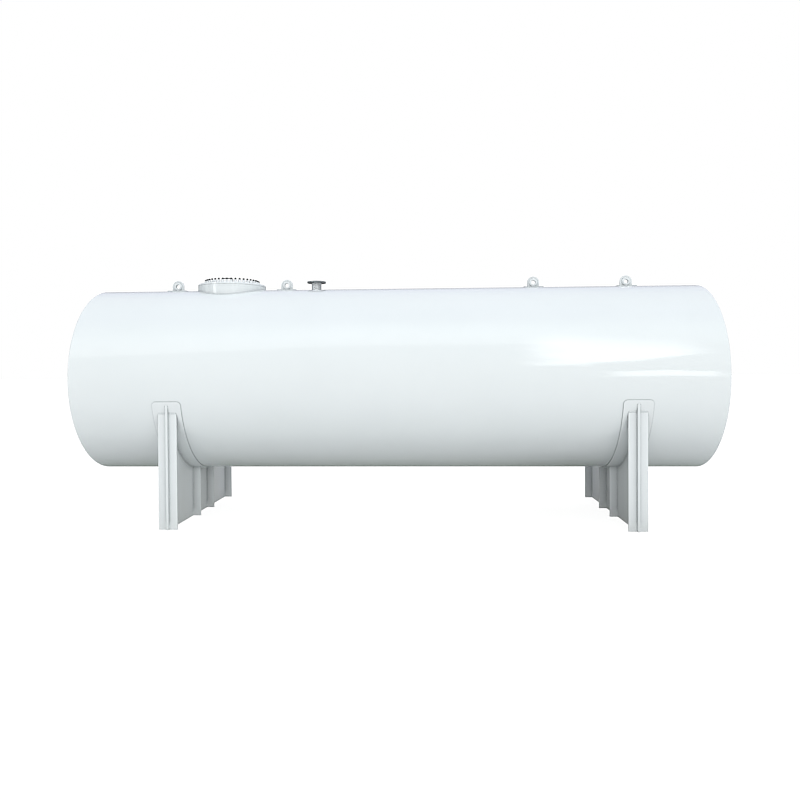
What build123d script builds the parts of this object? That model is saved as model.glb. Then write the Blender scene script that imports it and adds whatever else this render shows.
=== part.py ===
from build123d import *
import math
import os

os.makedirs("parts", exist_ok=True)

# Horizontal steel storage tank on two welded plate saddles, in millimetres.
# X runs along the tank, Y from front (negative) to back, Z up.
# The origin is on the ground, under the middle of the tank.

# Shell and heads
tank_radius = 1000.0
plate_thickness = 8.0
course_count = 3
rim_half_length = 3288.0
axis_height = 1524.0
dish_radius = 4000.0

# Saddles
left_saddle_x = -2287.0
right_saddle_x = 2414.0
wear_plate_thickness = 8.0
wear_plate_length = 292.0
wear_plate_half_angle = 77.0
wear_plate_corner = 40.0
web_thickness = 26.0
web_half_width = 976.0
rib_thickness = 15.0
rib_width = 191.0
outer_rib_face = 948.0
inner_rib_face = 242.0

# Lifting lugs
lug_positions = (-2507.0, -1248.0, 1536.0, 2560.0)
lug_radius = 66.0
lug_thickness = 20.0
lug_eye_height = 60.0
lug_eye_radius = 24.0
cheek_radius = 45.0
cheek_thickness = 10.0
pad_thickness = 12.0
pad_length = 216.0
pad_width = 150.0
pad_corner = 25.0

# Manhole, heights measured from the tank's axis
manhole_x = -1879.0
manhole_radius = 376.0
manhole_wall = 10.0
manhole_ring_bore = 260.0
manhole_ring_bottom = 1020.0
manhole_ring_top = 1040.0
gasket_thickness = 3.0
gasket_edge = 4.0
cover_thickness = 21.0
cover_edge_bevel = 7.0
handle_reach = 200.0
handle_length = 125.0
handle_height = 62.0
handle_thickness = 8.0
handle_width = 25.0
handle_bend = 18.0

# Nozzle, heights measured from the tank's axis
nozzle_x = -909.0
nozzle_radius = 54.0
nozzle_wall = 6.0
flange_radius = 105.0
flange_bottom = 1082.0
flange_thickness = 16.0
raised_face_radius = 72.0
raised_face_height = 3.0
flange_bolt_circle = 85.0
flange_bolt_count = 4
flange_bolt_hole_radius = 9.0

# Angles round the tank's axis, and the half angle that one of four shell plates spans
back_angle = 0.0
top_angle = 90.0
front_angle = 180.0
bottom_angle = 270.0
plate_half_angle = 45.0

edge_tolerance = 0.01

inner_radius = tank_radius - plate_thickness
wear_plate_radius = tank_radius + wear_plate_thickness
pad_radius = tank_radius + pad_thickness

# The dish's centre lies on the axis, and the head's flat landing meets the shell's end
dish_x = rim_half_length - math.sqrt(dish_radius**2 - tank_radius**2)
shell_half_length = dish_x + math.sqrt((dish_radius - plate_thickness)**2 - inner_radius**2)
course_length = 2 * shell_half_length / course_count


def cross_section(x):
    """Plane across the tank at x, with its origin on the tank's axis."""
    return Plane(origin=(x, 0, axis_height), x_dir=(0, 1, 0), z_dir=(1, 0, 0))


def level(height):
    """Horizontal plane at a height above the tank's axis."""
    return Plane.XY.offset(axis_height + height)


def sector_outline(inner, outer, middle_angle, half_angle):
    """Closed outline of a band between two radii round the tank's axis."""
    start = middle_angle - half_angle
    outside = CenterArc((0, 0), outer, start, 2 * half_angle)
    inside = CenterArc((0, 0), inner, start, 2 * half_angle)
    Line(outside @ 0, inside @ 0)
    Line(outside @ 1, inside @ 1)


def export_piece(piece, name):
    """Name a finished piece and write it."""
    piece.label = name
    export_step(piece, f"parts/{name}.step")


# Shell: courses of four rolled plates, a quarter of the circle each

def shell_plate(start, middle_angle, cut_outs):
    """One rolled plate, with round cut-outs given as (x, radius) on the top centre line."""
    with BuildPart() as plate:
        with BuildSketch(cross_section(start)):
            with BuildLine():
                sector_outline(inner_radius, tank_radius, middle_angle, plate_half_angle)
            make_face()
        extrude(amount=course_length)
        for cut_x, cut_radius in cut_outs:
            with BuildSketch(level(0)):
                with Locations((cut_x, 0)):
                    Circle(cut_radius)
            extrude(amount=2 * tank_radius, mode=Mode.SUBTRACT)
    return plate.part


quarter_angles = {"top": top_angle, "front": front_angle, "bottom": bottom_angle, "back": back_angle}
top_cut_outs = {1: [(manhole_x, manhole_radius)], 2: [(nozzle_x, nozzle_radius)]}

for course in range(1, course_count + 1):
    course_start = -shell_half_length + (course - 1) * course_length
    for side, angle in quarter_angles.items():
        openings = top_cut_outs.get(course, []) if side == "top" else []
        export_piece(shell_plate(course_start, angle, openings), f"shell_{course}_{side}")


# Heads: shallow dished plates, their rims trimmed to the shell and landing on its ends

def dished_head(side):
    """Head at the right end for side 1, or at the left end for side -1."""
    with BuildPart() as head:
        with Locations((side * dish_x, 0, axis_height)):
            Sphere(dish_radius)
            Sphere(dish_radius - plate_thickness, mode=Mode.SUBTRACT)
        with BuildSketch(cross_section(side * shell_half_length)):
            Circle(tank_radius)
        extrude(amount=side * dish_radius, mode=Mode.INTERSECT)
    return head.part


export_piece(dished_head(-1), "left_head")
export_piece(dished_head(1), "right_head")


# Saddles: web across the tank, two pairs of ribs on each side of it, and a wear plate

def saddle_web(x):
    """Upright plate from the ground to the wear plate, hollowed to its curve."""
    with BuildPart() as web:
        with BuildSketch(cross_section(x - web_thickness / 2)):
            with Locations((0, -axis_height / 2)):
                Rectangle(2 * web_half_width, axis_height)
            Circle(wear_plate_radius, mode=Mode.SUBTRACT)
        extrude(amount=web_thickness)
    return web.part


def saddle_ribs(x, outer_face):
    """Four upright plates, front and back, left and right of the web, cut to the wear plate."""
    half_rib = (rib_width - web_thickness) / 2
    reach_x = web_thickness / 2 + half_rib / 2
    reach_y = outer_face - rib_thickness / 2
    with BuildPart() as ribs:
        with BuildSketch(Plane.XY):
            with Locations((x, 0)):
                with GridLocations(2 * reach_x, 2 * reach_y, 2, 2):
                    Rectangle(half_rib, rib_thickness)
        extrude(amount=axis_height)
        with BuildSketch(cross_section(x - rib_width / 2)):
            Circle(wear_plate_radius)
        extrude(amount=rib_width, mode=Mode.SUBTRACT)
    return ribs.part


def curved_plate(x, length, thickness, middle_angle, half_angle, corner_radius):
    """Plate rolled to the shell's outside, with rounded corners."""
    with BuildPart() as plate:
        with BuildSketch(cross_section(x - length / 2)):
            with BuildLine():
                sector_outline(tank_radius, tank_radius + thickness, middle_angle, half_angle)
            make_face()
        extrude(amount=length)
        corner_edges = plate.edges().filter_by(GeomType.LINE).filter_by(
            lambda edge: abs(edge.length - thickness) < edge_tolerance)
        fillet(corner_edges, radius=corner_radius)
    return plate.part


for side, saddle_x in (("left", left_saddle_x), ("right", right_saddle_x)):
    export_piece(saddle_web(saddle_x), f"{side}_saddle_web")
    export_piece(saddle_ribs(saddle_x, outer_rib_face), f"{side}_saddle_outer_ribs")
    export_piece(saddle_ribs(saddle_x, inner_rib_face), f"{side}_saddle_inner_ribs")
    wear_plate = curved_plate(saddle_x, wear_plate_length, wear_plate_thickness,
                              bottom_angle, wear_plate_half_angle, wear_plate_corner)
    export_piece(wear_plate, f"{side}_wear_plate")


# Lifting lugs: round-headed plates with a cheek ring on each face, each on a curved pad

lug_eye_z = axis_height + tank_radius + lug_eye_height
pad_half_angle = math.degrees(pad_width / 2 / tank_radius)

with BuildPart() as lifting_lugs:
    for lug_x in lug_positions:
        eye = Plane(origin=(lug_x, 0, lug_eye_z), x_dir=(1, 0, 0), z_dir=(0, -1, 0))
        with BuildSketch(eye):
            Circle(lug_radius)
            with Locations((0, -lug_eye_height / 2)):
                Rectangle(2 * lug_radius, lug_eye_height)
        extrude(amount=lug_thickness / 2, both=True)
        with BuildSketch(eye):
            Circle(cheek_radius)
        extrude(amount=lug_thickness / 2 + cheek_thickness, both=True)
        with BuildSketch(eye):
            Circle(lug_eye_radius)
        extrude(amount=lug_radius, both=True, mode=Mode.SUBTRACT)
    with BuildSketch(cross_section(-rim_half_length)):
        Circle(pad_radius)
    extrude(amount=2 * rim_half_length, mode=Mode.SUBTRACT)
export_piece(lifting_lugs.part, "lifting_lugs")

pads = [curved_plate(lug_x, pad_length, pad_thickness, top_angle, pad_half_angle, pad_corner)
        for lug_x in lug_positions]
with BuildPart() as lug_pads:
    add(pads)
export_piece(lug_pads.part, "lug_pads")


# Manhole: neck through the shell, bolting ring, gasket and bevelled cover

with BuildPart() as manhole_neck:
    with BuildSketch(level(0)):
        with Locations((manhole_x, 0)):
            Circle(manhole_radius)
            Circle(manhole_radius - manhole_wall, mode=Mode.SUBTRACT)
    extrude(amount=manhole_ring_bottom)
    with BuildSketch(cross_section(manhole_x - tank_radius)):
        Circle(inner_radius)
    extrude(amount=2 * tank_radius, mode=Mode.SUBTRACT)
export_piece(manhole_neck.part, "manhole_neck")

with BuildPart() as manhole_ring:
    with BuildSketch(level(manhole_ring_bottom)):
        with Locations((manhole_x, 0)):
            Circle(manhole_radius)
            Circle(manhole_ring_bore, mode=Mode.SUBTRACT)
    extrude(amount=manhole_ring_top - manhole_ring_bottom)
export_piece(manhole_ring.part, "manhole_ring")

with BuildPart() as manhole_gasket:
    with BuildSketch(level(manhole_ring_top)):
        with Locations((manhole_x, 0)):
            Circle(manhole_radius - gasket_edge)
            Circle(manhole_ring_bore, mode=Mode.SUBTRACT)
    extrude(amount=gasket_thickness)
export_piece(manhole_gasket.part, "manhole_gasket")

cover_bottom = manhole_ring_top + gasket_thickness
cover_top = axis_height + cover_bottom + cover_thickness
with BuildPart() as manhole_cover:
    with BuildSketch(level(cover_bottom)):
        with Locations((manhole_x, 0)):
            Circle(manhole_radius)
    extrude(amount=cover_thickness)
    chamfer(manhole_cover.edges().filter_by(GeomType.CIRCLE).sort_by(Axis.Z)[-1], length=cover_edge_bevel)
export_piece(manhole_cover.part, "manhole_cover")


def handle_arch(inset):
    """Arch of a grab handle, inset from its outside."""
    reach = handle_length / 2 - inset
    top = handle_height - inset
    corners = ((-reach, 0), (-reach, top), (reach, top), (reach, 0))
    arch = FilletPolyline(*corners, radius=handle_bend - inset)
    return arch @ 0, arch @ 1


with BuildPart() as cover_handles:
    for handle_y in (-handle_reach, handle_reach):
        handle_plane = Plane(origin=(manhole_x, handle_y, cover_top), x_dir=(1, 0, 0), z_dir=(0, -1, 0))
        with BuildSketch(handle_plane):
            with BuildLine():
                outer_start, outer_end = handle_arch(0.0)
                inner_start, inner_end = handle_arch(handle_thickness)
                Line(outer_start, inner_start)
                Line(outer_end, inner_end)
            make_face()
        extrude(amount=handle_width / 2, both=True)
export_piece(cover_handles.part, "cover_handles")


# Nozzle: pipe through the shell and a flange with a raised face

with BuildPart() as nozzle_neck:
    with BuildSketch(level(0)):
        with Locations((nozzle_x, 0)):
            Circle(nozzle_radius)
            Circle(nozzle_radius - nozzle_wall, mode=Mode.SUBTRACT)
    extrude(amount=flange_bottom)
    with BuildSketch(cross_section(nozzle_x - flange_radius)):
        Circle(inner_radius)
    extrude(amount=2 * flange_radius, mode=Mode.SUBTRACT)
export_piece(nozzle_neck.part, "nozzle_neck")

with BuildPart() as nozzle_flange:
    with BuildSketch(level(flange_bottom)):
        with Locations((nozzle_x, 0)):
            Circle(flange_radius)
    extrude(amount=flange_thickness)
    with BuildSketch(level(flange_bottom + flange_thickness)):
        with Locations((nozzle_x, 0)):
            Circle(raised_face_radius)
    extrude(amount=raised_face_height)
    with BuildSketch(level(flange_bottom)):
        with Locations((nozzle_x, 0)):
            Circle(nozzle_radius - nozzle_wall)
            with PolarLocations(flange_bolt_circle, flange_bolt_count, start_angle=180 / flange_bolt_count):
                Circle(flange_bolt_hole_radius)
    extrude(amount=flange_thickness + raised_face_height, mode=Mode.SUBTRACT)
export_piece(nozzle_flange.part, "nozzle_flange")
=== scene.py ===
import math

import bmesh
import bpy
from mathutils import Matrix, Vector


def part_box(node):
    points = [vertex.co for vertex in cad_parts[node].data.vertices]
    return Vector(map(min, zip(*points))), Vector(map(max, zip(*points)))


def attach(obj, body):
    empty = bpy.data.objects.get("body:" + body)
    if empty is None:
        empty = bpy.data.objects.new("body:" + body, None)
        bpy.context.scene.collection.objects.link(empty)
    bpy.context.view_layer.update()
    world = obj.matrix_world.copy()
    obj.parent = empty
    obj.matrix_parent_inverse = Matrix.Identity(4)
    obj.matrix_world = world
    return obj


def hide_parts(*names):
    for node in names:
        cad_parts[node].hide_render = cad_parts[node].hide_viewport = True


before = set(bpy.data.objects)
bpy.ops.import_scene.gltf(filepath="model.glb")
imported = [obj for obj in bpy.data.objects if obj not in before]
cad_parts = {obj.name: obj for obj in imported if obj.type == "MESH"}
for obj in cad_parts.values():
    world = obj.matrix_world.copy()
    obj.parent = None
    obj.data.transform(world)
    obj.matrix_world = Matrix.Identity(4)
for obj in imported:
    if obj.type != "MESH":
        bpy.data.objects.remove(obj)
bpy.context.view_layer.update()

# Sizes read from the frame, in metres: X along the tank, Y from front to back, Z up
front_low, front_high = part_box("shell_2_front")
tank_radius = -front_low.y
axis_z = (front_low.z + front_high.z) / 2
plate_thickness = tank_radius + front_high.y * math.sqrt(2)
head_tip_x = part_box("right_head")[1].x

wear_plate_radius = axis_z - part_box("left_wear_plate")[0].z

pads_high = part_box("lug_pads")[1]
pad_radius = pads_high.z - axis_z
pad_half_width = tank_radius * math.asin(pads_high.y / pad_radius)

neck_low, neck_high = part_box("manhole_neck")
manhole_x = (neck_low.x + neck_high.x) / 2
manhole_radius = (neck_high.x - neck_low.x) / 2
cover_top_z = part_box("cover_handles")[0].z

pipe_low, pipe_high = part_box("nozzle_neck")
nozzle_x = (pipe_low.x + pipe_high.x) / 2
nozzle_radius = (pipe_high.x - pipe_low.x) / 2
flange_low_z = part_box("nozzle_flange")[0].z

# Driving dimensions that no box gives, in metres
dish_radius = 4.0
rim_rounding = 0.010
lug_positions = (-2.507, -1.248, 1.536, 2.560)
pad_length = 0.216
pad_corner = 0.025
lug_radius = 0.066
lug_thickness = 0.020
neck_wall = 0.010
pipe_wall = 0.006
rib_thickness = 0.015
handle_length = 0.125
handle_thickness = 0.008
handle_width = 0.025
lug_foot_corner = 0.002
handle_foot_corner = 0.001

# Cover fasteners: M20 studs with washers, nuts and lock nuts
stud_count = 40
stud_circle_radius = 0.295
stud_radius = 0.010
stud_height = 0.052
nut_across_flats = 0.030
nut_height = 0.018
lock_nut_height = 0.013
nut_chamfer = 0.0015
nut_end_share = 0.93
nut_sides = 6
washer_radius = 0.0185
washer_height = 0.003
washer_sides = 24
stud_sides = 16

# Weld bead radii
saddle_bead = 0.005
pad_bead = 0.003
lug_bead = 0.004
neck_bead = 0.006
pipe_bead = 0.005
flange_bead = 0.004
handle_bead = 0.003
bead_step = 0.005
bead_ripple = 0.07
bead_sides = 8

# Radii that ease the edges of the plates
web_easing = 0.007
rib_easing = 0.0045
plate_easing = 0.003
flange_easing = 0.0015
handle_easing = 0.0015
pipe_easing = 0.001
lid_easing = 0.001
ring_easing = 0.0006

# Points round the tank and along each half of a saddle's arc, and the steps along a weld's outline
around_tank = 256
saddle_arc_steps = 90
outline_step = 0.02


def finished(name, bm, material, replaces=()):
    """Turn built geometry into a named piece of the object."""
    mesh = bpy.data.meshes.new(name)
    bm.to_mesh(mesh)
    bm.free()
    piece = bpy.data.objects.new(name, mesh)
    bpy.context.scene.collection.objects.link(piece)
    mesh.materials.append(material)
    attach(piece, "root")
    if replaces:
        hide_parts(*replaces)
    return piece


# Node helpers

def feed(tree, socket, value):
    """Link a socket to another one, or set its value."""
    if isinstance(value, bpy.types.NodeSocket):
        tree.links.new(value, socket)
    else:
        socket.default_value = value


def maths(tree, operation, *values):
    """A Math node on sockets or numbers."""
    node = tree.nodes.new("ShaderNodeMath")
    node.operation = operation
    for socket, value in zip(node.inputs, values):
        feed(tree, socket, value)
    return node.outputs[0]


def spread(tree, value, from_low, from_high, to_low, to_high, smooth=False):
    """A value carried from one range to another and held at its ends."""
    node = tree.nodes.new("ShaderNodeMapRange")
    if smooth:
        node.interpolation_type = "SMOOTHSTEP"
    for socket, number in zip(node.inputs, (value, from_low, from_high, to_low, to_high)):
        feed(tree, socket, number)
    return node.outputs["Result"]


def clouded(tree, vector, scale, detail, stretch=(1, 1, 1)):
    """Noise on a stretched vector."""
    mapping = tree.nodes.new("ShaderNodeMapping")
    mapping.inputs["Scale"].default_value = stretch
    tree.links.new(vector, mapping.inputs["Vector"])
    node = tree.nodes.new("ShaderNodeTexNoise")
    node.inputs["Scale"].default_value = scale
    node.inputs["Detail"].default_value = detail
    tree.links.new(mapping.outputs["Vector"], node.inputs["Vector"])
    return node.outputs["Fac"]


def blended(tree, factor, first, second):
    """A colour between two colours."""
    node = tree.nodes.new("ShaderNodeMix")
    node.data_type = "RGBA"
    feed(tree, node.inputs["Factor"], factor)
    feed(tree, node.inputs[6], first)
    feed(tree, node.inputs[7], second)
    return node.outputs[2]


def bumped(tree, height, distance, normal=None):
    """A bump from a height between 0 and 1."""
    node = tree.nodes.new("ShaderNodeBump")
    node.inputs["Strength"].default_value = 1.0
    node.inputs["Distance"].default_value = distance
    tree.links.new(height, node.inputs["Height"])
    if normal:
        tree.links.new(normal, node.inputs["Normal"])
    return node.outputs["Normal"]


def rgba(colour):
    """A colour with full cover."""
    return (*colour, 1.0)


# Materials

# How far the painted shade reaches from a seam, a corner or an underside, in metres, and how dark it gets
seam_reach = 0.018
seam_shade = 0.85
corner_reach = 0.07
corner_shade = 0.35
underside_shade_reach = 0.16

# Heights between which the feet stay free of that painted shade, and the height that mud splashes reach
unshaded_foot = 0.03
fully_shaded_foot = 0.10
splash_height = 0.16

# Fineness of the paint's patches, sheen, speckles, rolled waves and peel, as noise scales
patch_scale = 1.6
sheen_scale = 5.0
speckle_scale = 28
wave_scale = 1.1
peel_scale = 170
peel_depth = 0.00002

# Colours of the painted shade in seams and corners, of splashed mud, and of the painted shade under the
# flange
painted_shade_colour = (0.16, 0.18, 0.19)
mud_colour = (0.42, 0.40, 0.36)
shade_black = (0.012, 0.012, 0.013)


def sheltered(tree, reach):
    """How open a place is, from 0 in a corner to 1 on an open face."""
    node = tree.nodes.new("ShaderNodeAmbientOcclusion")
    node.samples = 8
    node.inputs["Distance"].default_value = reach
    return node.outputs["AO"]


def new_material(name):
    """A material with its node tree, its shader and the place on the object."""
    material = bpy.data.materials.new(name)
    material.use_nodes = True
    tree = material.node_tree
    shader = tree.nodes["Principled BSDF"]
    place = tree.nodes.new("ShaderNodeTexCoord").outputs["Object"]
    return material, tree, shader, place


def enamel(name, light, dark, gloss, wave, grime=0.0, shade_amount=1.0):
    """Sprayed gloss enamel on rolled plate, with painted shade darkening its seams and corners, and mud
    splashed up where asked.
    """
    material, tree, shader, place = new_material(name)
    patches = clouded(tree, place, patch_scale, 4)
    colour = blended(tree, spread(tree, patches, 0.35, 0.65, 0, 1), rgba(light), rgba(dark))
    # Painted shade: the paint darkens toward dark grey in seams and corners, where less light reaches
    seam = spread(tree, sheltered(tree, seam_reach), 0.35, 0.95, seam_shade * shade_amount, 0)
    corner = spread(tree, sheltered(tree, corner_reach), 0.3, 1.0, corner_shade * shade_amount, 0)
    separate = tree.nodes.new("ShaderNodeSeparateXYZ")
    tree.links.new(place, separate.inputs[0])
    clear_of_floor = spread(tree, separate.outputs["Z"], unshaded_foot, fully_shaded_foot, 0, 1)
    painted_shade = maths(tree, "MULTIPLY", maths(tree, "MAXIMUM", seam, corner), clear_of_floor)
    colour = blended(tree, painted_shade, colour, rgba(painted_shade_colour))
    if grime:
        low = spread(tree, separate.outputs["Z"], 0.0, splash_height, 1, 0, smooth=True)
        speckle = spread(tree, clouded(tree, place, speckle_scale, 6), 0.35, 0.7, 0, 1)
        soiled = maths(tree, "MULTIPLY", maths(tree, "MULTIPLY", low, speckle), grime)
        colour = blended(tree, soiled, colour, rgba(mud_colour))
    tree.links.new(colour, shader.inputs["Base Color"])
    sheen_patches = clouded(tree, place, sheen_scale, 5)
    roughness = spread(tree, sheen_patches, 0.3, 0.7, gloss * 0.75, gloss * 1.35)
    tree.links.new(roughness, shader.inputs["Roughness"])
    rolled = bumped(tree, clouded(tree, place, wave_scale, 2, stretch=(0.8, 1, 1)), wave)
    peel = bumped(tree, clouded(tree, place, peel_scale, 2), peel_depth, rolled)
    tree.links.new(peel, shader.inputs["Normal"])
    return material


def steel(name, light, dark, roughness_range, metallic, stretch=(1, 1, 1), shade_blackened=False):
    """Steel with fine marks along one direction, its sheltered underside painted black as shade if asked."""
    material, tree, shader, place = new_material(name)
    marks = clouded(tree, place, 60, 6, stretch=stretch)
    colour = blended(tree, spread(tree, marks, 0.3, 0.7, 0, 1), rgba(light), rgba(dark))
    # Painted shade: where the steel is sheltered from below it turns black
    if shade_blackened:
        deep_shade = spread(tree, sheltered(tree, underside_shade_reach), 0.35, 0.70, 1, 0)
        colour = blended(tree, deep_shade, colour, rgba(shade_black))
    tree.links.new(colour, shader.inputs["Base Color"])
    roughness = spread(tree, marks, 0.3, 0.7, *roughness_range)
    tree.links.new(roughness, shader.inputs["Roughness"])
    shader.inputs["Metallic"].default_value = metallic
    tree.links.new(bumped(tree, marks, 0.0001), shader.inputs["Normal"])
    return material


def rubber(name):
    """Matt pale grey sheet rubber."""
    material, tree, shader, place = new_material(name)
    grain = clouded(tree, place, 400, 4)
    colour = blended(tree, grain, rgba((0.62, 0.63, 0.63)), rgba((0.72, 0.73, 0.73)))
    tree.links.new(colour, shader.inputs["Base Color"])
    tree.links.new(spread(tree, grain, 0.3, 0.7, 0.6, 0.85), shader.inputs["Roughness"])
    tree.links.new(bumped(tree, grain, 0.0002), shader.inputs["Normal"])
    return material


tank_paint = enamel("tank_enamel", (0.825, 0.860, 0.862), (0.812, 0.848, 0.850), gloss=0.055, wave=0.0006)
saddle_paint = enamel("saddle_enamel", (0.805, 0.835, 0.840), (0.785, 0.815, 0.820), gloss=0.16, wave=0.0003,
                      grime=0.10, shade_amount=1.15)
plate_paint = enamel("plate_enamel", (0.825, 0.855, 0.858), (0.810, 0.840, 0.842), gloss=0.12, wave=0.0003)
lug_paint = enamel("lug_enamel", (0.78, 0.81, 0.815), (0.75, 0.78, 0.785), gloss=0.18, wave=0.0002)
manhole_paint = enamel("manhole_enamel", (0.80, 0.835, 0.840), (0.78, 0.815, 0.820), gloss=0.10, wave=0.0003)
bead_paint = enamel("weld_enamel", (0.80, 0.835, 0.840), (0.77, 0.805, 0.810), gloss=0.20, wave=0.0001)
nut_paint = enamel("nut_enamel", (0.86, 0.88, 0.885), (0.83, 0.85, 0.855), gloss=0.25, wave=0.0001, shade_amount=0.2)
gasket_rubber = rubber("gasket_rubber")
pipe_steel = steel("pipe_steel", (0.66, 0.68, 0.69), (0.54, 0.56, 0.57), (0.36, 0.50),
                   stretch=(1, 1, 0.08), metallic=0.55)
stud_steel = steel("stud_steel", (0.022, 0.023, 0.025), (0.012, 0.013, 0.014), (0.5, 0.65), metallic=0.3)
flange_steel = steel("flange_steel", (0.30, 0.32, 0.33), (0.20, 0.22, 0.23), (0.35, 0.5), metallic=0.5,
                     shade_blackened=True)
handle_steel = steel("handle_steel", (0.17, 0.175, 0.18), (0.11, 0.114, 0.118), (0.35, 0.5), metallic=0.6)


# Tank skin: one turned double surface with rounded rims, its openings cut through the top

def end_profile():
    """Right end's outer outline from the tip to the straight shell, as (x, radius)."""
    centre_x = head_tip_x - dish_radius
    rounding_x = centre_x + math.sqrt((dish_radius - rim_rounding)**2 - (tank_radius - rim_rounding)**2)
    dish_angle = math.atan2(tank_radius - rim_rounding, rounding_x - centre_x)
    dish_steps = 24
    rounding_steps = 7
    outline = []
    for step in range(dish_steps + 1):
        angle = dish_angle * step / dish_steps
        outline.append((centre_x + dish_radius * math.cos(angle), dish_radius * math.sin(angle)))
    for step in range(1, rounding_steps + 1):
        angle = dish_angle + (math.pi / 2 - dish_angle) * step / rounding_steps
        radius = tank_radius - rim_rounding + rim_rounding * math.sin(angle)
        outline.append((rounding_x + rim_rounding * math.cos(angle), radius))
    return outline, rounding_x


def inner_profile():
    """Right end's inner outline from its middle to the straight shell, as (x, radius)."""
    centre_x = head_tip_x - dish_radius
    inner_dish = dish_radius - plate_thickness
    dish_angle = math.asin((tank_radius - plate_thickness) / inner_dish)
    steps = 12
    angles = [dish_angle * step / steps for step in range(steps + 1)]
    return [(centre_x + inner_dish * math.cos(angle), inner_dish * math.sin(angle)) for angle in angles]


def turned(bm, outline, inward):
    """Turn a right-end outline and its mirror image round the tank's axis."""
    straight_x = outline[-1][0]
    bays = 26
    pole = 1e-6
    middle = [(straight_x - 2 * straight_x * bay / bays, outline[-1][1]) for bay in range(1, bays)]
    profile = outline + middle + [(-x, radius) for x, radius in reversed(outline)]
    rings = []
    for x, radius in profile:
        if radius < pole:
            rings.append([bm.verts.new((x, 0, axis_z))])
            continue
        turns = [2 * math.pi * step / around_tank for step in range(around_tank)]
        rings.append([bm.verts.new((x, radius * math.sin(turn), axis_z + radius * math.cos(turn)))
                      for turn in turns])
    for ring, following in zip(rings, rings[1:]):
        for step in range(around_tank):
            after = (step + 1) % around_tank
            if len(ring) == 1:
                corners = [ring[0], following[step], following[after]]
            elif len(following) == 1:
                corners = [ring[step], following[0], ring[after]]
            else:
                corners = [ring[step], following[step], following[after], ring[after]]
            bm.faces.new(corners if inward else corners[::-1])


def upright_cutter(name, x, radius):
    """Round bar that stands over the tank's axis and reaches through its top."""
    length = 1.2
    middle_z = axis_z + 0.9
    bm = bmesh.new()
    bmesh.ops.create_cone(bm, cap_ends=True, segments=128, radius1=radius, radius2=radius, depth=length,
                          matrix=Matrix.Translation((x, 0, middle_z)))
    mesh = bpy.data.meshes.new(name)
    bm.to_mesh(mesh)
    bm.free()
    cutter = bpy.data.objects.new(name, mesh)
    bpy.context.scene.collection.objects.link(cutter)
    return cutter


def cut_openings(piece, cutters):
    """Cut the bars out of the piece for good and take them out of the scene."""
    for cutter in cutters:
        cut = piece.modifiers.new(cutter.name, "BOOLEAN")
        cut.operation = "DIFFERENCE"
        cut.solver = "EXACT"
        cut.object = cutter
    evaluated = piece.evaluated_get(bpy.context.evaluated_depsgraph_get())
    old_mesh = piece.data
    piece.data = bpy.data.meshes.new_from_object(evaluated)
    piece.modifiers.clear()
    bpy.data.meshes.remove(old_mesh)
    for cutter in cutters:
        cutter_mesh = cutter.data
        bpy.data.objects.remove(cutter)
        bpy.data.meshes.remove(cutter_mesh)


def true_normals(mesh, straight_x):
    """Exact normals on the straight shell, so that the cut openings leave its reflections clean."""
    mesh.shade_smooth()
    on_skin = 0.9
    normals = [corner.vector.copy() for corner in mesh.corner_normals]
    for face in mesh.polygons:
        middle = face.center
        if abs(middle.x) > straight_x:
            continue
        radial = Vector((0, middle.y, middle.z - axis_z)).normalized()
        facing = radial.dot(face.normal)
        for loop in face.loop_indices:
            corner = mesh.vertices[mesh.loops[loop].vertex_index].co
            outward = Vector((0, corner.y, corner.z - axis_z)).normalized()
            if abs(facing) > on_skin:
                normals[loop] = outward if facing > 0 else -outward
            else:
                normals[loop] = face.normal.copy()
    mesh.normals_split_custom_set(normals)


skin = bmesh.new()
outer_outline, straight_x = end_profile()
turned(skin, outer_outline, inward=False)
turned(skin, inner_profile(), inward=True)
shell_sides = ("top", "front", "bottom", "back")
shell_nodes = [f"shell_{course}_{side}" for course in (1, 2, 3) for side in shell_sides]
tank_skin = finished("tank_skin", skin, tank_paint, shell_nodes + ["left_head", "right_head"])
cut_openings(tank_skin, [
    upright_cutter("manhole_cutter", manhole_x, manhole_radius - neck_wall / 2),
    upright_cutter("nozzle_cutter", nozzle_x, nozzle_radius - pipe_wall / 2),
])
true_normals(tank_skin.data, straight_x)


# Plate pieces: the frame's own solids with eased edges

def eased(name, node, material, easing, sharp=None):
    """A node's solid with its edges rounded, apart from those that the sharp test names."""
    same_place = 1e-5
    flat_angle = math.radians(0.4)
    crease_angle = math.radians(25)
    sharp_angle = math.radians(35)
    bm = bmesh.new()
    bm.from_mesh(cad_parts[node].data)
    bmesh.ops.remove_doubles(bm, verts=bm.verts, dist=same_place)
    bmesh.ops.dissolve_limit(bm, angle_limit=flat_angle, verts=bm.verts, edges=bm.edges)
    creases = [edge for edge in bm.edges if edge.is_manifold and edge.calc_face_angle() > crease_angle]
    if sharp:
        creases = [edge for edge in creases if not sharp(edge)]
    bmesh.ops.bevel(bm, geom=creases, offset=easing, offset_type="OFFSET", segments=3, profile=0.5,
                    affect="EDGES", clamp_overlap=True, miter_outer="ARC")
    for face in bm.faces:
        face.smooth = True
    for edge in bm.edges:
        if edge.is_manifold and edge.calc_face_angle() > sharp_angle:
            edge.smooth = False
    piece = finished(name, bm, material, [node])
    weighted = piece.modifiers.new("face_normals", "WEIGHTED_NORMAL")
    weighted.keep_sharp = True
    weighted.weight = 100
    return piece


def web_side_test(saddle_x, half_web):
    """Test for the rib edges that lie on the web's faces, under the welds."""
    tolerance = 1e-4

    def on_web(edge):
        """Whether both ends of the edge lie on a face of the web."""
        return all(abs(abs(vert.co.x - saddle_x) - half_web) < tolerance for vert in edge.verts)
    return on_web


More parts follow.
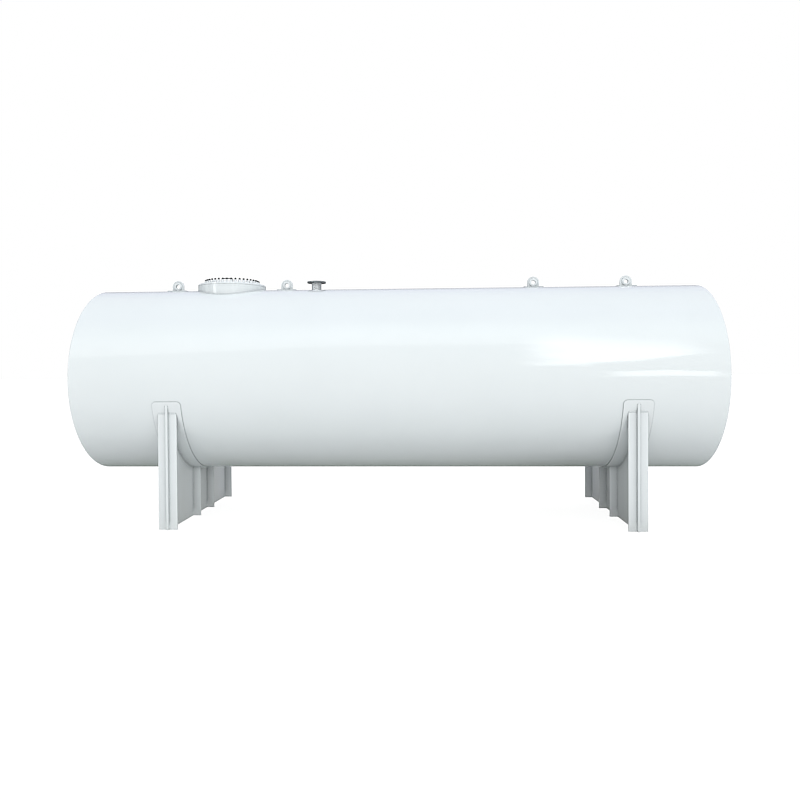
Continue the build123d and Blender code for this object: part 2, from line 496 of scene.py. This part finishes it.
saddles = []
for side in ("left", "right"):
    web_low, web_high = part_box(f"{side}_saddle_web")
    outer_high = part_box(f"{side}_saddle_outer_ribs")[1]
    inner_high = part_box(f"{side}_saddle_inner_ribs")[1]
    saddle_x = (web_low.x + web_high.x) / 2
    half_web = (web_high.x - web_low.x) / 2
    saddles.append({
        "side": side,
        "x": saddle_x,
        "half_web": half_web,
        "half_width": web_high.y,
        "rib_reach": outer_high.x - saddle_x,
        "rib_faces": (outer_high.y, outer_high.y - rib_thickness, inner_high.y, inner_high.y - rib_thickness),
    })
    on_web = web_side_test(saddle_x, half_web)
    eased(f"{side}_web", f"{side}_saddle_web", saddle_paint, web_easing)
    for row in ("outer", "inner"):
        eased(f"{side}_{row}_ribs", f"{side}_saddle_{row}_ribs", saddle_paint, rib_easing,
              on_web)
    eased(f"{side}_saddle_plate", f"{side}_wear_plate", plate_paint, plate_easing)

eased("lifting_eyes", "lifting_lugs", lug_paint, plate_easing)
eased("lug_base_pads", "lug_pads", lug_paint, plate_easing)
eased("manhole_wall", "manhole_neck", manhole_paint, ring_easing)
eased("manhole_bolting_ring", "manhole_ring", manhole_paint, ring_easing)
eased("manhole_seal", "manhole_gasket", gasket_rubber, ring_easing)
eased("manhole_lid", "manhole_cover", manhole_paint, lid_easing)
eased("lid_handles", "cover_handles", handle_steel, handle_easing)
eased("nozzle_pipe", "nozzle_neck", pipe_steel, pipe_easing)
eased("nozzle_flange_plate", "nozzle_flange", flange_steel, flange_easing)


# Weld beads

def evenly_spaced(path, closed):
    """Points one bead step apart along a path, an even number of steps in all."""
    points = [Vector(point) for point in path]
    lengths = [0.0]
    ends = points[1:] + points[:1] if closed else points[1:]
    for start, end in zip(points, ends):
        lengths.append(lengths[-1] + (end - start).length)
    steps = max(2, 2 * round(lengths[-1] / bead_step / 2))
    laps = points + points[:1] if closed else points
    samples = []
    leg = 0
    for step in range(steps if closed else steps + 1):
        reach = lengths[-1] * step / steps
        while leg < len(laps) - 2 and lengths[leg + 1] < reach:
            leg += 1
        share = (reach - lengths[leg]) / max(lengths[leg + 1] - lengths[leg], 1e-9)
        samples.append(laps[leg].lerp(laps[leg + 1], min(share, 1.0)))
    return samples


def bead_rings(bm, samples, radius, closed):
    """Rings of points across a path, alternately a little wider and narrower."""
    count = len(samples)
    turns = [2 * math.pi * turn / bead_sides for turn in range(bead_sides)]
    side_way = None
    rings = []
    for place, sample in enumerate(samples):
        before = samples[place - 1] if closed or place else sample
        after = samples[(place + 1) % count] if closed or place < count - 1 else sample
        along = (after - before).normalized()
        if side_way is None:
            side_way = along.orthogonal()
        side_way = (side_way - along * side_way.dot(along)).normalized()
        other_way = along.cross(side_way)
        size = radius * (1 + bead_ripple * (-1)**place)
        rings.append([bm.verts.new(sample + (side_way * math.cos(turn) + other_way * math.sin(turn)) * size)
                      for turn in turns])
    return rings


def laid(bm, path, radius, closed=False):
    """Round bead with a slight ripple along a path."""
    rings = bead_rings(bm, evenly_spaced(path, closed), radius, closed)
    pairs = list(zip(rings, rings[1:]))
    if closed:
        first, last = rings[0], rings[-1]
        shift = min(range(bead_sides), key=lambda turn: (last[0].co - first[turn].co).length)
        pairs.append((last, first[shift:] + first[:shift]))
    else:
        bm.faces.new(rings[0][::-1])
        bm.faces.new(rings[-1])
    for ring, following in pairs:
        for turn in range(bead_sides):
            after = (turn + 1) % bead_sides
            face = bm.faces.new((ring[turn], ring[after], following[after], following[turn]))
            face.smooth = True


def rounded_rectangle(half_length, half_width, corner):
    """Points round a rectangle with rounded corners."""
    corner_steps = 8
    points = []
    for turn, (sign_u, sign_v) in enumerate(((1, 1), (-1, 1), (-1, -1), (1, -1))):
        for step in range(corner_steps + 1):
            angle = math.pi / 2 * (turn + step / corner_steps)
            points.append((sign_u * (half_length - corner) + corner * math.cos(angle),
                           sign_v * (half_width - corner) + corner * math.sin(angle)))
    return points


def divided(points, step):
    """Closed outline with its long runs cut into short ones."""
    result = []
    for start, end in zip(points, points[1:] + points[:1]):
        parts = max(1, math.ceil(math.dist(start, end) / step))
        for part in range(parts):
            share = part / parts
            result.append((start[0] + (end[0] - start[0]) * share, start[1] + (end[1] - start[1]) * share))
    return result


def pad_outline(x, half_length, half_width, corner):
    """Outline of a rolled pad on the top of the shell, its half width measured round the shell."""
    points = []
    for along, across in divided(rounded_rectangle(half_length, half_width, corner), outline_step):
        angle = across / tank_radius
        points.append((x + along, tank_radius * math.sin(angle), axis_z + tank_radius * math.cos(angle)))
    return points


def ring_on_shell(x, radius, steps=96):
    """Line where an upright pipe meets the top of the shell."""
    points = []
    for step in range(steps):
        turn = 2 * math.pi * step / steps
        y = radius * math.sin(turn)
        points.append((x + radius * math.cos(turn), y, axis_z + math.sqrt(tank_radius**2 - y**2)))
    return points


def level_ring(x, radius, z, steps=64):
    """Circle round an upright pipe."""
    turns = [2 * math.pi * step / steps for step in range(steps)]
    return [(x + radius * math.cos(turn), radius * math.sin(turn), z) for turn in turns]


for saddle in saddles:
    saddle_x = saddle["x"]
    half_web = saddle["half_web"]
    beads = bmesh.new()
    reach_angle = math.asin((saddle["half_width"] - saddle_bead) / wear_plate_radius)
    for web_face in (-half_web, half_web):
        angles = [reach_angle * step / saddle_arc_steps
                  for step in range(-saddle_arc_steps, saddle_arc_steps + 1)]
        laid(beads, [(saddle_x + web_face, wear_plate_radius * math.sin(angle),
                      axis_z - wear_plate_radius * math.cos(angle)) for angle in angles], saddle_bead)
        rib_end = math.copysign(saddle["rib_reach"] - saddle_bead, web_face)
        for rib_face in saddle["rib_faces"]:
            for y in (-rib_face, rib_face):
                top_z = axis_z - math.sqrt(wear_plate_radius**2 - y**2)
                foot = (saddle_x + web_face, y, 2 * saddle_bead)
                corner = (saddle_x + web_face, y, top_z)
                laid(beads, [foot, corner], saddle_bead)
                laid(beads, [corner, (saddle_x + rib_end, y, top_z)], saddle_bead)
    finished(f"{saddle['side']}_saddle_welds", beads, bead_paint)

beads = bmesh.new()
for lug_x in lug_positions:
    laid(beads, pad_outline(lug_x, pad_length / 2, pad_half_width, pad_corner), pad_bead, closed=True)
    lug_outline = divided(rounded_rectangle(lug_radius, lug_thickness / 2, lug_foot_corner), outline_step)
    laid(beads, [(lug_x + along, across, axis_z + math.sqrt(pad_radius**2 - across**2))
                 for along, across in lug_outline], lug_bead, closed=True)
finished("lug_welds", beads, bead_paint)

beads = bmesh.new()
laid(beads, ring_on_shell(manhole_x, manhole_radius), neck_bead, closed=True)
handle_foot = rounded_rectangle(handle_thickness / 2, handle_width / 2, handle_foot_corner)
handle_reach_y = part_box("cover_handles")[1].y - handle_width / 2
for handle_y in (-handle_reach_y, handle_reach_y):
    for foot in (-1, 1):
        foot_x = manhole_x + foot * (handle_length - handle_thickness) / 2
        foot_outline = divided(handle_foot, outline_step / 2)
        laid(beads, [(foot_x + along, handle_y + across, cover_top_z) for along, across in foot_outline],
             handle_bead, closed=True)
finished("manhole_welds", beads, bead_paint)

beads = bmesh.new()
laid(beads, ring_on_shell(nozzle_x, nozzle_radius), pipe_bead, closed=True)
finished("nozzle_root_weld", beads, bead_paint)

beads = bmesh.new()
laid(beads, level_ring(nozzle_x, nozzle_radius, flange_low_z), flange_bead, closed=True)
finished("nozzle_flange_weld", beads, pipe_steel)


# Cover fasteners

def stacked(bm, centre, levels, sides, turn=0.0):
    """Closed prism with rings of (height, radius)."""
    rings = []
    for height, radius in levels:
        ring = []
        for side in range(sides):
            angle = turn + 2 * math.pi * side / sides
            reach = Vector((radius * math.cos(angle), radius * math.sin(angle), height))
            ring.append(bm.verts.new(centre + reach))
        rings.append(ring)
    for ring, following in zip(rings, rings[1:]):
        for side in range(sides):
            after = (side + 1) % sides
            bm.faces.new((ring[side], ring[after], following[after], following[side]))
    bm.faces.new(rings[0][::-1])
    bm.faces.new(rings[-1])


nuts = bmesh.new()
studs = bmesh.new()
nut_corner = nut_across_flats / math.sqrt(3)
nut_top = washer_height + nut_height
lock_nut_top = nut_top + lock_nut_height
for place in range(stud_count):
    angle = 2 * math.pi * (place + 0.5) / stud_count
    centre = Vector((manhole_x + stud_circle_radius * math.cos(angle), stud_circle_radius * math.sin(angle),
                     cover_top_z))
    stacked(nuts, centre, [(0, washer_radius), (washer_height, washer_radius)], washer_sides)
    # Every nut rests at a turn of its own
    for bottom, top, turn in ((washer_height, nut_top, angle * 3), (nut_top, lock_nut_top, angle * 5)):
        stacked(nuts, centre, [(bottom, nut_corner * nut_end_share), (bottom + nut_chamfer, nut_corner),
                               (top - nut_chamfer, nut_corner), (top, nut_corner * nut_end_share)],
                nut_sides, turn=turn)
    stacked(studs, centre, [(washer_height, stud_radius), (stud_height - nut_chamfer, stud_radius),
                            (stud_height, stud_radius - nut_chamfer)], stud_sides)
finished("cover_nuts", nuts, nut_paint)
finished("cover_studs", studs, stud_steel)


# Stage: a pale floor for the camera, and the same floor as the light meets it

floor_half_size = 400.0
floor_gap = 0.001
floor_tint = (1.0, 1.010, 0.985)

# Where the floor's painted shadow darkens it: across the tank from its middle, and along it beside the right
# saddle, in metres
shade_middle = 0.6 * tank_radius
shade_edge = 1.8 * tank_radius
shadow_patch_left = (1.2, 2.0)
shadow_patch_right = (2.4, 2.9)


def level_sheet(name, half_size, z):
    """Level sheet that belongs to the stage."""
    bm = bmesh.new()
    bmesh.ops.create_grid(bm, x_segments=8, y_segments=8, size=half_size,
                          matrix=Matrix.Translation((0, 0, z)))
    mesh = bpy.data.meshes.new(name)
    bm.to_mesh(mesh)
    bm.free()
    sheet = bpy.data.objects.new(name, mesh)
    bpy.context.scene.collection.objects.link(sheet)
    return sheet


def floor_material(name, glow, albedo, shaded_albedo, deep_shade_albedo):
    """Pale floor that glows a little, with a painted shadow that darkens it under the tank, most of all
    beside the right saddle.
    """
    material = bpy.data.materials.new(name)
    material.use_nodes = True
    tree = material.node_tree
    tree.nodes.remove(tree.nodes["Principled BSDF"])
    parts = tree.nodes.new("ShaderNodeSeparateXYZ")
    tree.links.new(tree.nodes.new("ShaderNodeTexCoord").outputs["Object"], parts.inputs[0])
    sideways = maths(tree, "ABSOLUTE", parts.outputs["Y"])
    open_share = spread(tree, sideways, shade_middle, shade_edge, 0, 1, smooth=True)
    beside_saddle = maths(tree, "MULTIPLY", spread(tree, parts.outputs["X"], *shadow_patch_left, 0, 1, smooth=True),
                          spread(tree, parts.outputs["X"], *shadow_patch_right, 1, 0, smooth=True))
    # Painted shadow: the floor's colour darkens under the tank, darkest beside the right saddle
    shaded, deep_shade, lit = [rgba([level * tint for tint in floor_tint])
                           for level in (shaded_albedo, deep_shade_albedo, albedo)]
    under_tank = blended(tree, beside_saddle, shaded, deep_shade)
    diffuse = tree.nodes.new("ShaderNodeBsdfDiffuse")
    tree.links.new(blended(tree, open_share, under_tank, lit), diffuse.inputs["Color"])
    emission = tree.nodes.new("ShaderNodeEmission")
    emission.inputs["Strength"].default_value = glow
    both = tree.nodes.new("ShaderNodeAddShader")
    tree.links.new(diffuse.outputs[0], both.inputs[0])
    tree.links.new(emission.outputs[0], both.inputs[1])
    tree.links.new(both.outputs[0], tree.nodes["Material Output"].inputs["Surface"])
    return material


# The floor that the camera sees
seen_floor = level_sheet("floor", floor_half_size, 0.0)
seen_floor.data.materials.append(
    floor_material("pale_floor", glow=0.91, albedo=0.18, shaded_albedo=0.18, deep_shade_albedo=0.18))
seen_floor.visible_diffuse = False
seen_floor.visible_glossy = False
seen_floor.visible_shadow = False

# The floor that throws soft light back on the tank, dimmed by its painted shadow under the tank
lit_floor = level_sheet("floor_bounce", floor_half_size, -floor_gap)
lit_floor.data.materials.append(
    floor_material("floor_bounce", glow=0.0, albedo=0.74, shaded_albedo=0.46, deep_shade_albedo=0.16))
lit_floor.visible_camera = False
lit_floor.visible_glossy = False


# Studio light: a soft sky, bright above the camera, with a ragged lamp cloud and a thin strip at the right

world = bpy.data.worlds.new("studio")
world.use_nodes = True
bpy.context.scene.world = world
sky = world.node_tree


def product(*values):
    """All values multiplied."""
    result = values[0]
    for value in values[1:]:
        result = maths(sky, "MULTIPLY", result, value)
    return result


def rising(value, low, high):
    """From 0 at the low value softly to 1 at the high one."""
    return spread(sky, value, low, high, 0, 1, smooth=True)


def falling(value, low, high):
    """From 1 at the low value softly to 0 at the high one."""
    return spread(sky, value, low, high, 1, 0, smooth=True)


# The direction's angle round the tank's axis, up from the front, and its slant to the right
to_degrees = 180 / math.pi
direction = sky.nodes.new("ShaderNodeTexCoord").outputs["Generated"]
parts = sky.nodes.new("ShaderNodeSeparateXYZ")
sky.links.new(direction, parts.inputs[0])
to_right, to_back, to_top = parts.outputs
to_front = product(to_back, -1.0)
rise = product(maths(sky, "ARCTAN2", to_top, to_front), to_degrees)
across_squared = maths(sky, "ADD", product(to_back, to_back), product(to_top, to_top))
rightward = maths(sky, "DIVIDE", to_right, maths(sky, "SQRT", across_squared))

# Brightest level that a sky ramp holds
ramp_scale = 2.5


def sky_ramp(stop_list):
    """Sky colour over the rise angle, which runs from the back horizon over the ground and the top."""
    node = sky.nodes.new("ShaderNodeValToRGB")
    node.color_ramp.interpolation = "EASE"
    stops = node.color_ramp.elements
    while len(stops) < len(stop_list):
        stops.new(0.5)
    for stop, (angle, colour) in zip(stops, stop_list):
        stop.position = (angle + 180) / 360
        stop.color = rgba([level / ramp_scale for level in colour])
    sky.links.new(spread(sky, rise, -180, 180, 0, 1), node.inputs["Fac"])
    return node


# Light that falls on the tank
soft_sky = sky_ramp((
    (-90, (0.93, 0.93, 0.93)),
    (0, (1.84, 1.84, 1.84)),
    (20, (1.84, 1.84, 1.84)),
    (45, (1.50, 1.54, 1.60)),
    (70, (1.61, 1.68, 1.60)),
    (90, (0.42, 0.58, 0.84)),
    (115, (1.80, 1.75, 1.90)),
    (145, (1.23, 1.23, 1.23)),
    (180, (0.79, 0.79, 0.79)),
))

# What the paint mirrors
mirrored_sky = sky_ramp((
    (-180, (0.30, 0.30, 0.30)),
    (-150, (0.24, 0.28, 0.24)),
    (-92, (0.50, 0.50, 0.50)),
    (-66, (0.98, 1.02, 0.96)),
    (-30, (1.09, 1.08, 1.07)),
    (0, (0.74, 0.72, 0.71)),
    (30, (0.70, 0.70, 0.70)),
    (60, (1.00, 1.12, 1.17)),
    (81, (0.60, 0.62, 0.78)),
    (112, (0.60, 0.60, 0.60)),
    (145, (0.60, 0.60, 0.72)),
    (180, (0.30, 0.30, 0.30)),
))

# Bright band over a sharp edge that sinks toward the left
band_level = 0.95
band_edge = spread(sky, rightward, -0.55, -0.12, 27, 41)
over_band_edge = maths(sky, "SUBTRACT", rise, band_edge)
band = product(rising(over_band_edge, -1.5, 1.5), falling(over_band_edge, 10, 38),
               spread(sky, rightward, 0.14, 0.30, 1, 0.4, smooth=True))

# Lamp cloud with a ragged lower edge
cloud_level = 4.0
ragged = spread(sky, clouded(sky, direction, 12, 4, stretch=(1, 1, 0.6)), 0.3, 0.7, -2.5, 2.5)
ragged_left = maths(sky, "ADD", rightward, spread(sky, ragged, -2.5, 2.5, -0.02, 0.02))
cloud_low = maths(sky, "ADD", spread(sky, rightward, 0.225, 0.265, 12.5, 16.5),
                  spread(sky, rightward, 0.265, 0.40, 0, 9))
cloud_high = spread(sky, rightward, 0.15, 0.40, 50, 37)
over_cloud_low = maths(sky, "ADD", maths(sky, "SUBTRACT", rise, cloud_low), ragged)
under_cloud_high = maths(sky, "SUBTRACT", cloud_high, rise)
cloud = product(rising(over_cloud_low, 0, 2.5), rising(under_cloud_high, -10, 12),
                rising(ragged_left, 0.12, 0.20), falling(rightward, 0.34, 0.42))

# Thin lamp strip under it
strip_level = 3.6
strip_rise = 3.4
strip_centre = maths(sky, "SUBTRACT", strip_rise, product(ragged, 0.5))
strip_offset = maths(sky, "ABSOLUTE", maths(sky, "SUBTRACT", rise, strip_centre))
strip = product(falling(strip_offset, 2.0, 4.2), rising(ragged_left, 0.245, 0.285),
                falling(rightward, 0.405, 0.425))

# Soft box at the left, off the shell's own mirror image
box_level = 4.5
box_azimuth = -45.0
azimuth = product(maths(sky, "ARCTAN2", to_right, to_front), to_degrees)
height_angle = product(maths(sky, "ARCSINE", to_top), to_degrees)
box_offset = maths(sky, "ABSOLUTE", maths(sky, "SUBTRACT", azimuth, box_azimuth))
soft_box = product(falling(box_offset, 3.5, 8.0), rising(height_angle, -8, 0),
                   falling(height_angle, 25, 40))

# The light thins out toward both sides, most of all toward the left and the upper right
rightness = spread(sky, to_right, 0, 1, 0, 1)
leftness = spread(sky, to_right, -1, 0, 1, 0)
right_share = product(rightness, rightness, spread(sky, to_top, 0, 0.5, 0.45, 1))
left_share = product(leftness, leftness, spread(sky, to_back, 0.1, 0.6, 1, 0.4))


def side_fall(right_loss, left_loss, least):
    """Strength of a sky ramp, lowered toward the sides."""
    losses = maths(sky, "ADD", product(right_share, right_loss), product(left_share, left_loss))
    return product(maths(sky, "MAXIMUM", maths(sky, "SUBTRACT", 1.0, losses), least), ramp_scale)


def background(colour, strength):
    """A light of one colour and strength."""
    node = sky.nodes.new("ShaderNodeBackground")
    feed(sky, node.inputs["Color"], colour)
    feed(sky, node.inputs["Strength"], strength)
    return node.outputs[0]


def either(share, first, second):
    """The first light where the share is 0, and the second where it is 1."""
    node = sky.nodes.new("ShaderNodeMixShader")
    for socket, source in zip(node.inputs, (share, first, second)):
        sky.links.new(source, socket)
    return node.outputs[0]


lamps = 0.0
for lamp, level in ((band, band_level), (soft_box, box_level), (cloud, cloud_level), (strip, strip_level)):
    lamps = maths(sky, "ADD", product(lamp, level), lamps)

soft_light = background(soft_sky.outputs["Color"], side_fall(0.75, 1.3, 0.0))
mirrored = background(mirrored_sky.outputs["Color"], side_fall(0.60, 1.0, 0.5))
lamp_light = background(rgba((0.98, 1.0, 1.0)), lamps)
mirrored_light = sky.nodes.new("ShaderNodeAddShader")
sky.links.new(mirrored, mirrored_light.inputs[0])
sky.links.new(lamp_light, mirrored_light.inputs[1])
backdrop = background(rgba((1, 1, 1)), 1.0)
ray = sky.nodes.new("ShaderNodeLightPath")
studio_light = either(ray.outputs["Is Glossy Ray"], soft_light, mirrored_light.outputs[0])
sky.links.new(either(ray.outputs["Is Camera Ray"], studio_light, backdrop),
              sky.nodes["World Output"].inputs["Surface"])


# Camera at the photograph's angle: right of the middle, just above the tank's axis

camera_place = (0.378, -7.729, 1.5615)
turned_left = 0.0463
degrees_down = 0.845
rolled = -0.0063

camera_data = bpy.data.cameras.new("camera")
camera_data.sensor_width = 36.0
camera_data.lens = 30.676
camera_data.shift_x = 0.00159
camera_data.shift_y = -0.01936
camera_data.clip_end = 2000.0
camera = bpy.data.objects.new("camera", camera_data)
bpy.context.scene.collection.objects.link(camera)
aim = Matrix.Rotation(turned_left, 4, "Z") @ Matrix.Rotation(math.radians(90 - degrees_down), 4, "X")
camera.matrix_world = Matrix.Translation(camera_place) @ aim @ Matrix.Rotation(rolled, 4, "Z")
bpy.context.scene.camera = camera
bpy.context.scene.view_settings.view_transform = "Standard"

# Crisp finish, as in the photograph
display_gamma = 2.2
crispness = 0.06

bpy.context.scene.use_nodes = True
finish_tree = bpy.context.scene.node_tree
finish_tree.nodes.clear()
picture = finish_tree.nodes.new("CompositorNodeRLayers")
display = finish_tree.nodes.new("CompositorNodeGamma")
display.inputs["Gamma"].default_value = 1 / display_gamma
crisp = finish_tree.nodes.new("CompositorNodeFilter")
crisp.filter_type = "SHARPEN"
crisp.inputs["Fac"].default_value = crispness
linear = finish_tree.nodes.new("CompositorNodeGamma")
linear.inputs["Gamma"].default_value = display_gamma
result = finish_tree.nodes.new("CompositorNodeComposite")
chain = (picture, display, crisp, linear, result)
for before, after in zip(chain, chain[1:]):
    finish_tree.links.new(before.outputs["Image"], after.inputs["Image"])
